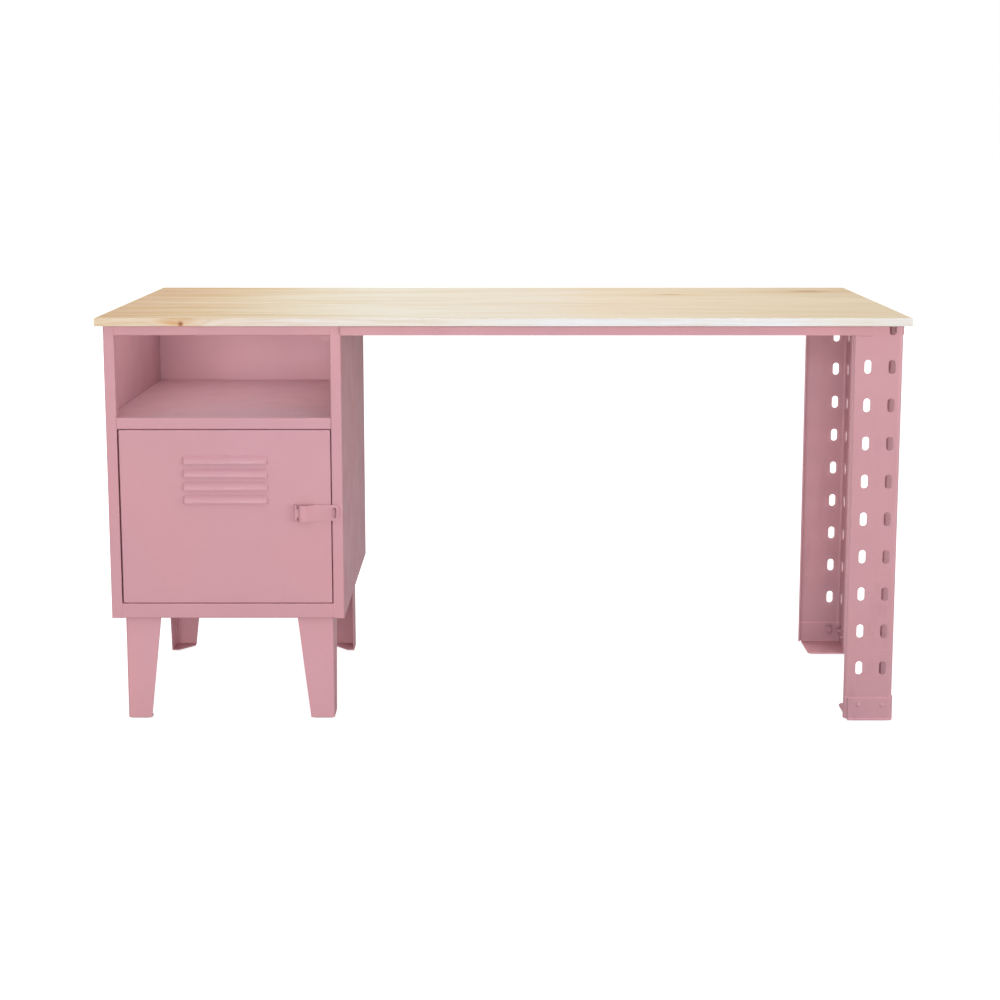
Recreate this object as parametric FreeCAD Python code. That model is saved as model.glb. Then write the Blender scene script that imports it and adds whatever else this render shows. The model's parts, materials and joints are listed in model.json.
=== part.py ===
"""Locker desk: a pine worktop on a powder-coated steel locker and two slotted steel angle legs.

Millimetres. +X is to the right of a person facing the desk, +Y is away from that person, +Z is up.
The origin is on the floor, under the centre of the worktop.
"""

import FreeCAD, Part
import math
import os

Vector = FreeCAD.Vector
X, Y, Z = Vector(1, 0, 0), Vector(0, 1, 0), Vector(0, 0, 1)

# ---- driving dimensions ------------------------------------------------------------------------

desk_width = 1480.0
desk_depth = 600.0
desk_height = 762.0
board_thick = 15.0
board_edge = 1.6  # radius of the worktop's eased edges
side_overhang = 12.0  # worktop past the locker and past the legs
front_overhang = 15.0
base_depth = 470.0  # the locker and the leg frame, front to back

locker_width = 432.0
locker_underside = 199.0
stile = 20.0  # width of the locker's front posts
post_lip = 14.0  # depth of the return behind a front post
back_flange = 14.0
sheet = 1.0  # locker panels
sheet_bend = 1.5  # bend radius at the middle of the sheet
top_rail_drop = 18.4
shelf_top = 577.0
shelf_rail_drop = 21.5
floor_top = 227.0
floor_rail_drop = floor_top - locker_underside

door_gap_left = 2.5
door_gap_right = 1.5
door_gap_ends = 1.0
door_thick = 16.0
door_lip = 10.0
pivot_inset = 6.5  # hinge axis from the door's edge and from its face
hinge_pin_radius = 2.5

louvre_count = 4
louvre_pitch = 24.5
louvre_width = 157.0
louvre_height = 15.5
louvre_proud = 5.5
louvre_first_top = 507.0

hasp_middle = 400.0  # height of the hasp
hasp_height = 30.0
hasp_thick = 2.0

angle_flange = 90.0
angle_thick = 2.5
angle_outer_radius = 8.0
angle_lip = 10.0
slot_width = 13.0
slot_length = 26.0
slot_pitch = 71.0
slot_first = 32.0  # height of the lowest row
slot_rows = 11
wide_face_columns = (20.0, 64.0)  # from the angle's corner
side_face_column = 24.0

rail_thick = 2.0
rail_drop = 18.0
rail_shelf = 30.0  # width of the rail's flange under the worktop
shoe_height = 44.0
shoe_thick = 2.0
shoe_reach = 83.0  # from the angle's corner, along each face
sole_thick = 3.0  # between the angle's end and the glide
glide_thick = 2.0

bolt_radius = 3.0
bolt_length = 14.0
bolt_flats = 10.0
bolt_head_high = 4.0
nut_high = 5.0
nut_flange_radius = 7.4
nut_flange_high = 1.6
flush_head_radius = 5.0
sheet_screw_radius = 2.0

# ---- places worked out from them ---------------------------------------------------------------

board_under = desk_height - board_thick
left = -desk_width / 2 + side_overhang
right = desk_width / 2 - side_overhang
front = -desk_depth / 2 + front_overhang
back = front + base_depth
locker_right = left + locker_width
locker_mid = (left + locker_right) / 2
base_mid = (front + back) / 2

door_left = left + stile + door_gap_left
door_right = locker_right - stile - door_gap_right
door_bottom = floor_top + door_gap_ends
door_top = shelf_top - shelf_rail_drop - door_gap_ends
pivot_x = door_left + pivot_inset
pivot_y = front + pivot_inset

angle_top = board_under - 0.2
angle_bottom = glide_thick + sole_thick
rail_bottom = board_under - rail_drop
rail_bolt_z = rail_bottom + 8.4
rail_bolt_inset = 15.0  # bolts through the rails' flanges, from the base's front and back
side_bolt_inset = 14.0

hasp_pin_x = left + 346.0
hasp_pin_y = front - 4.5
staple_x = left + 417.0


# ---- building blocks ---------------------------------------------------------------------------


def box(x0, x1, y0, y1, z0, z1):
    return Part.makeBox(x1 - x0, y1 - y0, z1 - z0, Vector(x0, y0, z0))


def rod(radius, start, end):
    along = end - start
    return Part.makeCylinder(radius, along.Length, start, along)


def upright(radius, x, y, z0, z1):
    """A vertical cylinder."""
    return rod(radius, Vector(x, y, z0), Vector(x, y, z1))


def through_y(radius, x, z, y0, y1):
    """A cylinder that runs from the front towards the back."""
    return rod(radius, Vector(x, y0, z), Vector(x, y1, z))


def plan(z):
    """Places a drawing in the floor plan at height z."""
    return lambda p: Vector(p.real, p.imag, z)


def side_view(x):
    """Places a drawing of depth and height in the plane at x."""
    return lambda p: Vector(x, p.real, p.imag)


def front_view(y):
    """Places a drawing of width and height in the plane at y."""
    return lambda p: Vector(p.real, y, p.imag)


def prism(points, place, sweep):
    """A straight prism on a closed outline of (u, v) points."""
    corners = [place(complex(*p)) for p in points]
    return Part.Face(Part.makePolygon(corners + corners[:1])).extrude(sweep)


def strip_side(path, offset, bends):
    """One face of a folded strip, as (start, middle, end); middle is None on a straight run."""
    runs = [(b - a) / abs(b - a) for a, b in zip(path, path[1:])]
    pieces = []
    here = path[0] + runs[0] * 1j * offset
    for corner, before, after, bend in zip(path[1:-1], runs, runs[1:], bends):
        turn = (after / before).imag
        side = math.copysign(1.0, turn)
        half_turn = abs(math.atan2(turn, (after / before).real)) / 2
        reach = bend * math.tan(half_turn)
        centre = corner - before * reach + before * 1j * side * bend
        start = corner - before * reach + before * 1j * offset
        end = corner + after * reach + after * 1j * offset
        outward = (corner - centre) / abs(corner - centre)
        middle = centre + outward * (bend - side * offset)
        pieces += [(here, None, start), (start, middle, end)]
        here = end
    pieces.append((here, None, path[-1] + runs[-1] * 1j * offset))
    return pieces


def folded(points, thick, bends, place, sweep):
    """A folded sheet: points are its middle line, bends the middle radius at each corner."""
    path = [complex(*p) for p in points]
    if not isinstance(bends, (list, tuple)):
        bends = [bends] * (len(path) - 2)
    near = strip_side(path, thick / 2, bends)
    far = strip_side(path, -thick / 2, bends)
    far_back = [(c, b, a) for a, b, c in reversed(far)]
    outline = near + [(near[-1][2], None, far_back[0][0])] + far_back
    outline.append((far_back[-1][2], None, near[0][0]))
    edges = []
    for a, b, c in outline:
        if b is None:
            if abs(c - a) > 1e-6:
                edges.append(Part.LineSegment(place(a), place(c)).toShape())
        else:
            edges.append(Part.Arc(place(a), place(b), place(c)).toShape())
    return Part.Face(Part.Wire(edges)).extrude(sweep)


def slot_cutter(centre, width, length, normal, depth):
    """An upright round-ended slot, cut along normal, with centre half way through."""
    r, straight = width / 2, length / 2 - width / 2
    across = normal.cross(Z)
    at = centre - normal * (depth / 2)
    a, b = at + across * r + Z * straight, at - across * r + Z * straight
    c, d = b - Z * 2 * straight, a - Z * 2 * straight
    top, bottom = at + Z * (straight + r), at - Z * (straight + r)
    edges = [
        Part.Arc(a, top, b).toShape(),
        Part.LineSegment(b, c).toShape(),
        Part.Arc(c, bottom, d).toShape(),
        Part.LineSegment(d, a).toShape(),
    ]
    return Part.Face(Part.Wire(edges)).extrude(normal * depth)


def hex_prism(flats, at, along):
    """A hexagonal prism from at to at + along, flats across its flats."""
    axis = Vector(along).normalize()
    u = X if abs(axis.dot(X)) < 0.9 else Y
    v = axis.cross(u)
    radius = flats / math.sqrt(3)
    corners = []
    for i in range(6):
        angle = math.radians(60 * i)
        corners.append(at + u * radius * math.cos(angle) + v * radius * math.sin(angle))
    return Part.Face(Part.makePolygon(corners + corners[:1])).extrude(along)


def hex_nut(at, out):
    """An M6 nut whose near face is at the point at, growing along out."""
    body = hex_prism(bolt_flats, at, out * nut_high)
    chamfer = Part.makeCone(bolt_flats * 0.62, bolt_flats * 0.5, nut_high, at, out)
    return body.common(chamfer).cut(rod(bolt_radius, at - out, at + out * (nut_high + 1)))


def flange_nut(at, out):
    """An M6 nut with a wide flange, so that it bridges a slot."""
    shoulder = at + out * nut_flange_high
    flange = rod(nut_flange_radius, at, shoulder)
    body = hex_prism(bolt_flats, shoulder, out * (nut_high - 0.6))
    bore = rod(bolt_radius, at - out, shoulder + out * (nut_high + 1))
    return flange.fuse(body).cut(bore).removeSplitter()


def dome(radius, high, at, out):
    """A flat-bottomed button standing on the point at."""
    sphere_radius = (radius**2 + high**2) / (2 * high)
    ball = Part.makeSphere(sphere_radius, at - out * (sphere_radius - high))
    return ball.common(rod(radius, at, at + out * (high + 1)))


def dome_bolt(radius, head_radius, head_high, at, out, length):
    """A button-head bolt: its head stands on at, towards out; its shank goes the other way."""
    head = dome(head_radius, head_high, at, out)
    return head.fuse(rod(radius, at, at - out * length)).removeSplitter()


def flush_bolt(at, out):
    """A countersunk M6 bolt whose flat head is flush with a rail's face at the point at."""
    head = Part.makeCone(flush_head_radius, bolt_radius, rail_thick, at, -out)
    shank = rod(bolt_radius, at - out * rail_thick, at - out * bolt_length)
    return head.fuse(shank).removeSplitter()


def countersink(at, out):
    """The hole that a flush bolt needs in a rail."""
    cone = Part.makeCone(flush_head_radius, bolt_radius, rail_thick, at, -out)
    return cone.fuse(rod(bolt_radius, at, at - out * (rail_thick + 1)))


def mirror_x(shape, about):
    return shape.mirror(Vector(about, 0, 0), X)


def mirror_y(shape, about):
    return shape.mirror(Vector(0, about, 0), Y)


def cut_all(shape, cutters):
    return shape.cut(Part.Compound(cutters)) if cutters else shape


def round_edges(shape, radius, wanted):
    """Fillets the edges whose middle point passes the test."""
    edges = [e for e in shape.Edges if wanted(e)]
    return shape.makeFillet(radius, edges)


# ---- worktop -----------------------------------------------------------------------------------

screw_bite = 10.0  # depth of a screw in the board
screw_head_radius = 4.2
screw_head_high = 2.4
rail_screw_y = (front + rail_bolt_inset, back - rail_bolt_inset)
rail_screw_x = (-160.0, 60.0, 330.0, 560.0)
side_screw_y = (-150.0, 20.0)
locker_screw_x = (left + 70, locker_right - 70)
locker_screw_y = (front + 65, back - 65)


def worktop_screw_places():
    """(x, y, underside of the sheet that the screw's head bears on)."""
    under_rail, under_locker = board_under - rail_thick, board_under - sheet
    places = [(x, y, under_rail) for x in rail_screw_x for y in rail_screw_y]
    places += [(right - side_bolt_inset, y, under_rail) for y in side_screw_y]
    places += [(x, y, under_locker) for x in locker_screw_x for y in locker_screw_y]
    return places


def screw_hole(x, y):
    """The path of a worktop screw through a sheet and into the board."""
    return upright(sheet_screw_radius, x, y, board_under - 4, board_under + screw_bite)


def worktop():
    half_w, half_d = desk_width / 2, desk_depth / 2
    board = box(-half_w, half_w, -half_d, half_d, board_under, desk_height)
    board = board.makeFillet(board_edge, board.Edges)
    return cut_all(board, [screw_hole(x, y) for x, y, _ in worktop_screw_places()])


def worktop_screws():
    screws = []
    for x, y, z in worktop_screw_places():
        length = board_under + screw_bite - z
        at = Vector(x, y, z)
        screws.append(dome_bolt(sheet_screw_radius, screw_head_radius, screw_head_high, at, -Z, length))
    return screws


# ---- rails under the worktop -------------------------------------------------------------------

rail_bend = 2.5
front_rail_end = right - wide_face_columns[1] + 7
back_rail_end = right - side_face_column + 11
side_rail_front = front + 10
side_rail_back = back - wide_face_columns[1] + 14
cross_rail_x = (locker_right + front_rail_end) / 2 - 17
cross_rail_half = 18.0
cross_rail_inset = 2.0  # clear of the bends in the front and back rails
cleat_thick = 2.5
cleat_depth = 50.0
joint_bolt_depths = (27.0, 41.0)  # bolts through the locker's side, from the rail's face
lap_room = 1.0  # between an angle leg and the end of a rail's flange


def long_rail(end_x, leg_bolt_x):
    """The front rail: an angle with a cleat at the locker end, lapped onto the leg at the other.

    Only its upright face laps the leg; its flange under the worktop stops short of the leg.
    """
    face = front - rail_thick / 2
    line = [
        (face, rail_bottom),
        (face, board_under - rail_thick / 2),
        (front + rail_shelf - rail_thick, board_under - rail_thick / 2),
    ]
    length = end_x - locker_right
    rail = folded(line, rail_thick, rail_bend, side_view(locker_right), X * length)
    cleat_top = board_under - rail_thick
    cleat = box(
        locker_right,
        locker_right + cleat_thick,
        front - rail_thick / 2,
        front + cleat_depth,
        rail_bottom,
        cleat_top + 0.5,
    )
    rail = rail.fuse(cleat).removeSplitter()
    leg_bolt = Vector(leg_bolt_x, front - rail_thick, rail_bolt_z)
    lap_start, inside = right - angle_flange - lap_room, front + rail_shelf + 1
    cutters = [box(lap_start, end_x + 1, front, inside, rail_bottom - 1, board_under + 1)]
    cutters.append(countersink(leg_bolt, -Y))
    cutters += [screw_hole(x, rail_screw_y[0]) for x in rail_screw_x]
    cross_bolt = Vector(cross_rail_x, rail_screw_y[0], board_under)
    cutters.append(countersink(cross_bolt, Z))
    for depth in joint_bolt_depths:
        at = Vector(locker_right - 1, front + depth, rail_bolt_z)
        cutters.append(rod(bolt_radius, at, at + X * 8))
    return cut_all(rail, cutters)


def front_rail():
    return long_rail(front_rail_end, right - wide_face_columns[1])


def back_rail():
    return mirror_y(long_rail(back_rail_end, right - side_face_column), base_mid)


def side_rail_bolts():
    """Points on the side rail's face: the front leg's one column, the back leg's inner column."""
    x = right + rail_thick
    ys = (front + side_face_column, back - wide_face_columns[1])
    return [Vector(x, y, rail_bolt_z) for y in ys]


def side_rail():
    face = right + rail_thick / 2
    line = [
        (face, rail_bottom),
        (face, board_under - rail_thick / 2),
        (right - rail_shelf + rail_thick, board_under - rail_thick / 2),
    ]
    sweep = Y * (side_rail_back - side_rail_front)
    rail = folded(line, rail_thick, rail_bend, front_view(side_rail_front), sweep)
    inside, low, high = right - rail_shelf - 1, rail_bottom - 1, board_under + 1
    lap_end, lap_start = front + angle_flange + lap_room, back - angle_flange - lap_room
    cutters = [
        box(inside, right, side_rail_front - 1, lap_end, low, high),
        box(inside, right, lap_start, side_rail_back + 1, low, high),
    ]
    cutters += [countersink(p, X) for p in side_rail_bolts()]
    cutters += [screw_hole(right - side_bolt_inset, y) for y in side_screw_y]
    return cut_all(rail, cutters)


def cross_rail():
    """A channel, open downwards, bolted up to the flanges of the front and back rails."""
    top = board_under - rail_thick * 1.5
    line = [
        (cross_rail_x - cross_rail_half, rail_bottom),
        (cross_rail_x - cross_rail_half, top),
        (cross_rail_x + cross_rail_half, top),
        (cross_rail_x + cross_rail_half, rail_bottom),
    ]
    sweep = Y * (base_depth - 2 * cross_rail_inset)
    rail = folded(line, rail_thick, rail_bend, front_view(front + cross_rail_inset), sweep)
    holes = [upright(bolt_radius, cross_rail_x, y, top - 5, top + 5) for y in rail_screw_y]
    return cut_all(rail, holes)


def rail_bolts():
    """Countersunk bolts, painted over: rails to legs, and rails to the cross rail."""
    front_leg = Vector(right - wide_face_columns[1], front - rail_thick, rail_bolt_z)
    back_leg = Vector(right - side_face_column, back + rail_thick, rail_bolt_z)
    bolts = [flush_bolt(front_leg, -Y), flush_bolt(back_leg, Y)]
    bolts += [flush_bolt(p, X) for p in side_rail_bolts()]
    bolts += [flush_bolt(Vector(cross_rail_x, y, board_under), Z) for y in rail_screw_y]
    return bolts


def rail_nuts():
    """Flange nuts inside the legs, and under the cross rail."""
    front_leg = Vector(right - wide_face_columns[1], front + angle_thick, rail_bolt_z)
    back_leg = Vector(right - side_face_column, back - angle_thick, rail_bolt_z)
    under_cross_rail = board_under - 2 * rail_thick
    nuts = [flange_nut(front_leg, Y), flange_nut(back_leg, -Y)]
    nuts += [flange_nut(Vector(right - angle_thick, p.y, p.z), -X) for p in side_rail_bolts()]
    nuts += [flange_nut(Vector(cross_rail_x, y, under_cross_rail), -Z) for y in rail_screw_y]
    return nuts


bracket_thick = 2.0
bracket_front = 15.5  # its web, behind the locker's top rail
bracket_reach = 36.0  # from the locker's outer face
bracket_low = board_under - 29.0
bracket_high = board_under - 2.5
bracket_inner = locker_right - 2 * sheet - bracket_thick


def joint_bolt_points():
    """Bolts that hold the rails' cleats to the locker's side, as points on the cleat's face."""
    points = []
    for depth in joint_bolt_depths:
        for y in (front + depth, back - depth):
            points.append(Vector(locker_right + cleat_thick, y, rail_bolt_z))
    return points


def corner_bracket():
    """A short angle inside the locker's top corner, at the front; the back one is its mirror."""
    half = bracket_thick / 2
    wall = bracket_inner + half
    web = front + bracket_front + half
    line = [(locker_right - bracket_reach, web), (wall, web), (wall, front + cleat_depth)]
    bracket = folded(line, bracket_thick, 2.0, plan(bracket_low), Z * (bracket_high - bracket_low))
    corner_x = locker_right - bracket_reach
    bracket = round_edges(
        bracket,
        4.0,
        lambda e: e.Length < bracket_thick + 0.1
        and e.CenterOfMass.x < corner_x + 0.1
        and e.CenterOfMass.z < bracket_low + 0.1,
    )
    holes = []
    for depth in joint_bolt_depths:
        at = Vector(bracket_inner - 1, front + depth, rail_bolt_z)
        holes.append(rod(bolt_radius, at, at + X * 5))
    return cut_all(bracket, holes)


def joint_bolts():
    """Hexagon bolts from the cleat's side, long enough for their nuts."""
    bolts = []
    for p in joint_bolt_points():
        head = hex_prism(bolt_flats, p, X * bolt_head_high)
        shank = rod(bolt_radius, p, Vector(bracket_inner - nut_high - 3, p.y, p.z))
        bolts.append(head.fuse(shank).removeSplitter())
    return bolts


def joint_nuts():
    return [hex_nut(Vector(bracket_inner, p.y, p.z), -X) for p in joint_bolt_points()]


# ---- slotted angle legs ------------------------------------------------------------------------


def slotted_angle():
    """The front leg, with its outer corner on the Z axis: wide face to -X, side face to +Y."""
    half = angle_thick / 2
    free = angle_flange - half
    line = [(-free, angle_lip), (-free, half), (-half, half), (-half, free), (-angle_lip, free)]
    corner_bend = angle_outer_radius - half
    lip_bend = half + 2.0
    height = angle_top - angle_bottom
    bends = [lip_bend, corner_bend, lip_bend]
    body = folded(line, angle_thick, bends, plan(angle_bottom), Z * height)
    cutters = []
    for row in range(slot_rows):
        z = slot_first + row * slot_pitch
        for inset in wide_face_columns:
            cutters.append(slot_cutter(Vector(-inset, half, z), slot_width, slot_length, Y, 8))
        side_centre = Vector(-half, side_face_column, z)
        cutters.append(slot_cutter(side_centre, slot_width, slot_length, X, 8))
    return cut_all(body, cutters)


def at_front_corner(shape):
    return shape.translated(Vector(right, front, 0))


def at_back_corner(shape):
    """The same part turned a quarter about the vertical, for the back corner."""
    return shape.rotated(Vector(0, 0, 0), Z, 90).translated(Vector(right, back, 0))


def foot_shoe():
    """A folded shoe that wraps the foot of the angle and closes it underneath."""
    half = shoe_thick / 2
    bend = angle_outer_radius + half
    line = [(-shoe_reach, -half), (half, -half), (half, shoe_reach)]
    wrap = folded(line, shoe_thick, bend, plan(glide_thick), Z * shoe_height)
    cropped = shoe_reach - 6.0  # the sole's inner corner is cut off
    sole_outline = [
        (-shoe_reach, -half),
        (-bend, -half),
        (half, bend),
        (half, shoe_reach),
        (-cropped, shoe_reach),
        (-shoe_reach, cropped),
    ]
    sole = prism(sole_outline, plan(glide_thick), Z * sole_thick)
    shoe = wrap.fuse(sole).removeSplitter()
    holes = [rod(bolt_radius, p, p + out * (shoe_thick + 2)) for p, out in shoe_bolt_places(-1)]
    return cut_all(shoe, holes)


def shoe_bolt_places(proud):
    """(point, outward direction) of the shoe's bolts; proud is measured outwards from the angle."""
    places = [(Vector(-inset, -proud, slot_first), -Y) for inset in wide_face_columns]
    places.append((Vector(proud, side_face_column, slot_first), X))
    return places


def shoe_bolts():
    """Button-head bolts; the heads stand on the shoe's outer faces."""
    head_radius, head_high = 4.8, 2.2
    shapes = []
    for p, out in shoe_bolt_places(shoe_thick):
        shapes.append(dome_bolt(bolt_radius, head_radius, head_high, p, out, bolt_length))
    return place_on_both_corners(shapes)


def shoe_nuts():
    shapes = [flange_nut(p, -out) for p, out in shoe_bolt_places(-angle_thick)]
    return place_on_both_corners(shapes)


def place_on_both_corners(shapes):
    return [at_front_corner(s) for s in shapes] + [at_back_corner(s) for s in shapes]


def angle_leg_glides():
    """Nylon pads under the two shoes, with the inner corner cropped like the sole."""
    near, far, cropped = 10.0, 68.0, 60.0
    outline = [(-far, near), (-near, near), (-near, far), (-cropped, far), (-far, cropped)]
    return place_on_both_corners([prism(outline, plan(0), Z * glide_thick)])


# ---- locker shell ------------------------------------------------------------------------------

tray_flange = 14.0
tray_back_drop = 12.0
back_screw_inset = 8.0
back_screw_z = (262.0, 400.0, 540.0, 690.0)
staple_slot_half = 8.0
staple_thick = 2.0


def back_screw_places():
    """(x, z) of the screws through the back flanges."""
    xs = (left + back_screw_inset, locker_right - back_screw_inset)
    return [(x, z) for z in back_screw_z for x in xs]


def back_screw_holes():
    return [through_y(sheet_screw_radius, x, z, back - 9, back + 1) for x, z in back_screw_places()]


def side_panel():
    """The left side: front post with its inner lip, side wall and back flange, in one sheet."""
    half = sheet / 2
    post_inner = left + stile - half
    line = [
        (post_inner, front + post_lip),
        (post_inner, front + half),
        (left + half, front + half),
        (left + half, back - half),
        (left + back_flange, back - half),
    ]
    height = board_under - locker_underside
    panel = folded(line, sheet, sheet_bend, plan(locker_underside), Z * height)
    return cut_all(panel, back_screw_holes())


def locker_side_left():
    return side_panel()


def locker_side_right():
    panel = mirror_x(side_panel(), locker_mid)
    low, high = hasp_middle - staple_slot_half, hasp_middle + staple_slot_half
    half = staple_thick / 2
    cutters = [box(staple_x - half, staple_x + half, front - 1, front + 2, low, high)]
    cutters += [rod(bolt_radius, p, p - X * 8) for p in joint_bolt_points()]
    return cut_all(panel, cutters)


def tray(top, drop, lip):
    """A level panel with a front rail between the posts, and flanges at its sides and back."""
    half = sheet / 2
    back_edge = back - 2 * sheet - half
    line = [
        (front + lip, top - drop + half),
        (front + half, top - drop + half),
        (front + half, top - half),
        (back_edge, top - half),
        (back_edge, top - tray_back_drop),
    ]
    inner_left, inner_right = left + stile, locker_right - stile
    middle = folded(line, sheet, sheet_bend, side_view(inner_left), X * (inner_right - inner_left))
    wing_front, wing_back = front + post_lip + 1, back - 2 * sheet - 2
    wing_line = [
        (left + sheet + half, top - tray_flange),
        (left + sheet + half, top - half),
        (inner_left + 1, top - half),
    ]
    wing = folded(wing_line, sheet, sheet_bend, front_view(wing_front), Y * (wing_back - wing_front))
    return middle.multiFuse([wing, mirror_x(wing, locker_mid)]).removeSplitter()


def locker_top():
    cutters = [screw_hole(x, y) for x in locker_screw_x for y in locker_screw_y]
    cutters += [rod(bolt_radius, p, p - X * 8) for p in joint_bolt_points()]
    return cut_all(tray(board_under, top_rail_drop, 12.0), cutters)


def niche_shelf():
    """The floor of the open niche. Its rail's lip holds the door's top pivot."""
    lip_level = shelf_top - shelf_rail_drop
    holes = [upright(hinge_pin_radius, pivot_x, pivot_y, lip_level - 3, lip_level + 3)]
    for x in catch_screw_x:
        holes.append(upright(catch_screw_radius, x, catch_screw_y, shelf_top - 3, shelf_top + 1))
    return cut_all(tray(shelf_top, shelf_rail_drop, 13.0), holes)


def locker_floor():
    """The compartment's floor, with a deep rail that hides the tops of the legs."""
    low, high = floor_top - 4, floor_top + 1
    holes = [upright(hinge_pin_radius, pivot_x, pivot_y, low, high)]
    holes += [upright(bolt_radius, x, y, low, high) for x, y in leg_bolt_points()]
    return cut_all(tray(floor_top, floor_rail_drop, 6.0), holes)


def locker_back():
    """The back sheet, held inside the side flanges, with a pressed bead across its lower part."""
    inset = sheet + sheet_bend
    x0, x1 = left + inset, locker_right - inset
    y0, y1 = back - 2 * sheet, back - sheet
    panel = box(x0, x1, y0, y1, locker_underside + 0.5, board_under - sheet - 0.2)
    bead_radius, bead_proud = 5.0, 3.0
    hollow_radius = bead_radius - sheet
    bead_z = (floor_top + shelf_top) / 2
    ends = (Vector(left + 50, y1, bead_z), Vector(locker_right - 50, y1, bead_z))
    outer = rod(bead_radius, *ends).fuse([Part.makeSphere(bead_radius, p) for p in ends])
    inner = rod(hollow_radius, *ends).fuse([Part.makeSphere(hollow_radius, p) for p in ends])
    low, high = bead_z - bead_radius - 1, bead_z + bead_radius + 1
    raised = box(x0, x1, y1 - sheet / 2, y1 + bead_proud, low, high)
    hollow = box(x0, x1, y0 - sheet, y1 + bead_proud - sheet, low, high)
    panel = panel.fuse(outer.common(raised)).cut(inner.common(hollow))
    return cut_all(panel.removeSplitter(), back_screw_holes())


def back_screws():
    head_radius, head_high, length = 3.8, 2.0, 8.0
    screws = []
    for x, z in back_screw_places():
        at = Vector(x, back, z)
        screws.append(dome_bolt(sheet_screw_radius, head_radius, head_high, at, Y, length))
    return screws


# ---- locker legs -------------------------------------------------------------------------------

leg_inset_x = 22.0
leg_inset_y = 14.0
leg_thick = 2.0
leg_wide_top = 67.0
leg_wide_foot = 44.0
leg_plate = 3.0
leg_bend = 3.0
leg_plate_top = floor_top - sheet
leg_bolt_offsets = ((22.0, 50.0), (50.0, 22.0))


def corner_outline(wide, cropped):
    """A square plate in the leg's corner, its inner corner cut off and its outer one clipped."""
    clip = leg_bend
    return [(clip, 0), (wide, 0), (wide, cropped), (cropped, wide), (0, wide), (0, clip)]


def locker_leg():
    """The front left leg: two tapered flanges folded at the outer corner, a top plate and a sole."""
    half = leg_thick / 2
    top = leg_plate_top - leg_plate
    line = [(leg_wide_top, half), (half, half), (half, leg_wide_top)]
    shell = folded(line, leg_thick, leg_bend, plan(glide_thick), Z * (top - glide_thick))
    beyond, below = leg_wide_top + 20, -5
    taper = [
        (leg_wide_foot, glide_thick),
        (leg_wide_top, locker_underside),
        (beyond, locker_underside),
        (beyond, below),
        (leg_wide_foot, below),
    ]
    shell = shell.cut(prism(taper, front_view(-5), Y * beyond))
    shell = shell.cut(prism(taper, side_view(-5), X * beyond))
    plate = prism(corner_outline(leg_wide_top, 38.0), plan(top), Z * leg_plate)
    sole = prism(corner_outline(leg_wide_foot, 14.0), plan(glide_thick), Z * leg_thick)
    leg = shell.multiFuse([plate, sole]).removeSplitter()
    holes = [upright(bolt_radius, dx, dy, top - 1, leg_plate_top + 1) for dx, dy in leg_bolt_offsets]
    return cut_all(leg, holes).translated(Vector(left + leg_inset_x, front + leg_inset_y, 0))


def four_corners(shape):
    """(corner name, shape) for the shape at the front left and its mirrors."""
    other = mirror_x(shape, locker_mid)
    return [
        ("front_left", shape),
        ("front_right", other),
        ("back_left", mirror_y(shape, base_mid)),
        ("back_right", mirror_y(other, base_mid)),
    ]


def leg_bolt_points():
    points = []
    for dx, dy in leg_bolt_offsets:
        x, y = left + leg_inset_x + dx, front + leg_inset_y + dy
        for px in (x, 2 * locker_mid - x):
            for py in (y, 2 * base_mid - y):
                points.append((px, py))
    return points


def leg_bolts():
    """Button-head bolts down through the locker's floor."""
    head_radius, head_high = 5.2, 3.0
    bolts = []
    for x, y in leg_bolt_points():
        at = Vector(x, y, floor_top)
        bolts.append(dome_bolt(bolt_radius, head_radius, head_high, at, Z, bolt_length))
    return bolts


def leg_nuts():
    z = leg_plate_top - leg_plate
    return [hex_nut(Vector(x, y, z), -Z) for x, y in leg_bolt_points()]


def locker_leg_glides():
    near, far, cropped = 4.0, 38.0, 12.0
    outline = [(near, near), (far, near), (far, cropped), (cropped, far), (near, far)]
    pad = prism(outline, plan(0), Z * glide_thick)
    pad = pad.translated(Vector(left + leg_inset_x, front + leg_inset_y, 0))
    return [shape for _, shape in four_corners(pad)]


# ---- door --------------------------------------------------------------------------------------

bush_bore = 2.56
bush_radius = 4.0
bush_collar_radius = 6.0
bush_collar_high = 0.6
pin_head_radius = 4.2
pin_head_high = 2.4
pin_length = 13.0
rivet_radius = 2.0
stiffener_x = left + 358.0
rivet_x = hasp_pin_x + 13.0
rivet_z = (hasp_middle - 9.0, hasp_middle + 9.0)


def louvre_solid(width, high, proud, drop, root, end_round):
    """A hood that grows out of the door's face.

    drop is how far it reaches below its mouth, root how far it reaches into the sheet.
    """
    top = Vector(0, root, high)
    start = Vector(0, 0, high)
    shoulder = Vector(0, -0.72 * proud, 0.52 * high)
    lip = Vector(0, -proud, 0.12 * high)
    edges = [
        Part.LineSegment(top, start).toShape(),
        Part.Arc(start, shoulder, lip).toShape(),
        Part.LineSegment(lip, Vector(0, -proud, -drop)).toShape(),
        Part.LineSegment(Vector(0, -proud, -drop), Vector(0, root, -drop)).toShape(),
        Part.LineSegment(Vector(0, root, -drop), top).toShape(),
    ]
    hood = Part.Face(Part.Wire(edges)).extrude(X * width)
    ends = []
    for edge in hood.Edges:
        middle = edge.CenterOfMass
        at_end = min(abs(middle.x), abs(middle.x - width)) < 1e-6
        if at_end and (edge.Curve.TypeId == "Part::GeomCircle" or abs(middle.y + proud) < 1e-6):
            ends.append(edge)
    return hood.makeFillet(end_round, ends).translated(X * (-width / 2))


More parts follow.
